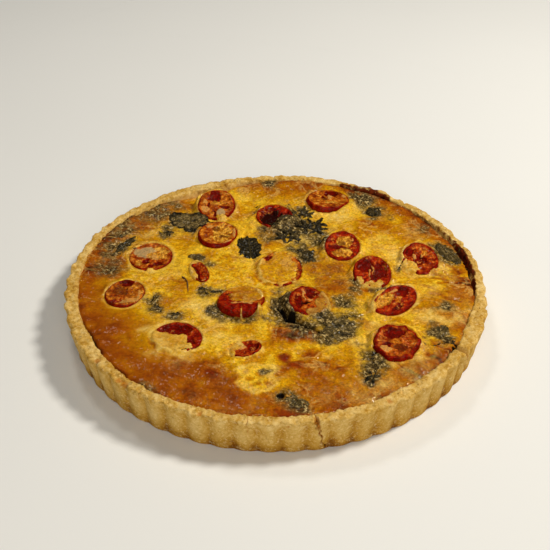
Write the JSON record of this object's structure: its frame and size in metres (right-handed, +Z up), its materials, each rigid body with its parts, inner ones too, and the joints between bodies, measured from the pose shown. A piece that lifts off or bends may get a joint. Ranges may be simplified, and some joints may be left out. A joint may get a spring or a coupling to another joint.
{
  "type": "quiche",
  "caption": "Round quiche: a fluted shortcrust case filled with golden baked custard and cheese, with tomato slices and wilted green leaves in its browned top.",
  "frame": {"origin": "middle of the pastry case's flat underside", "axes": "+Z up; -Y towards the front, near the full-height crack in the case; +X to the right as seen from the front"},
  "size_m": [0.276, 0.2758, 0.0306],
  "materials": {
    "crust": "dry, crumbly baked pastry",
    "filling": "oily, browned custard and melted cheese",
    "tomato": "moist, shrivelled tomato",
    "leaf": "wilted leaf, slightly oily"
  },
  "bodies": {
    "root": {"crust": "crust", "filling": "filling", "tomato_slice_01": "tomato", "tomato_slice_02": "tomato", "tomato_slice_03": "tomato", "tomato_slice_04": "tomato", "tomato_slice_05": "tomato", "tomato_slice_06": "tomato", "tomato_slice_07": "tomato", "tomato_slice_08": "tomato", "tomato_slice_09": "tomato", "tomato_slice_10": "tomato", "tomato_slice_11": "tomato", "tomato_slice_12": "tomato", "tomato_slice_13": "tomato", "tomato_slice_14": "tomato", "tomato_slice_15": "tomato", "tomato_slice_16": "tomato", "tomato_slice_17": "tomato", "leaf_piece_01": "leaf", "leaf_piece_02": "leaf", "leaf_piece_03": "leaf", "leaf_piece_04": "leaf", "leaf_piece_05": "leaf", "leaf_piece_06": "leaf", "leaf_piece_07": "leaf", "leaf_piece_08": "leaf", "leaf_piece_09": "leaf", "leaf_piece_10": "leaf", "leaf_piece_11": "leaf", "parsley_leaf_01": "leaf", "parsley_leaf_02": "leaf", "parsley_leaf_03": "leaf"}
  },
  "joints": []
}
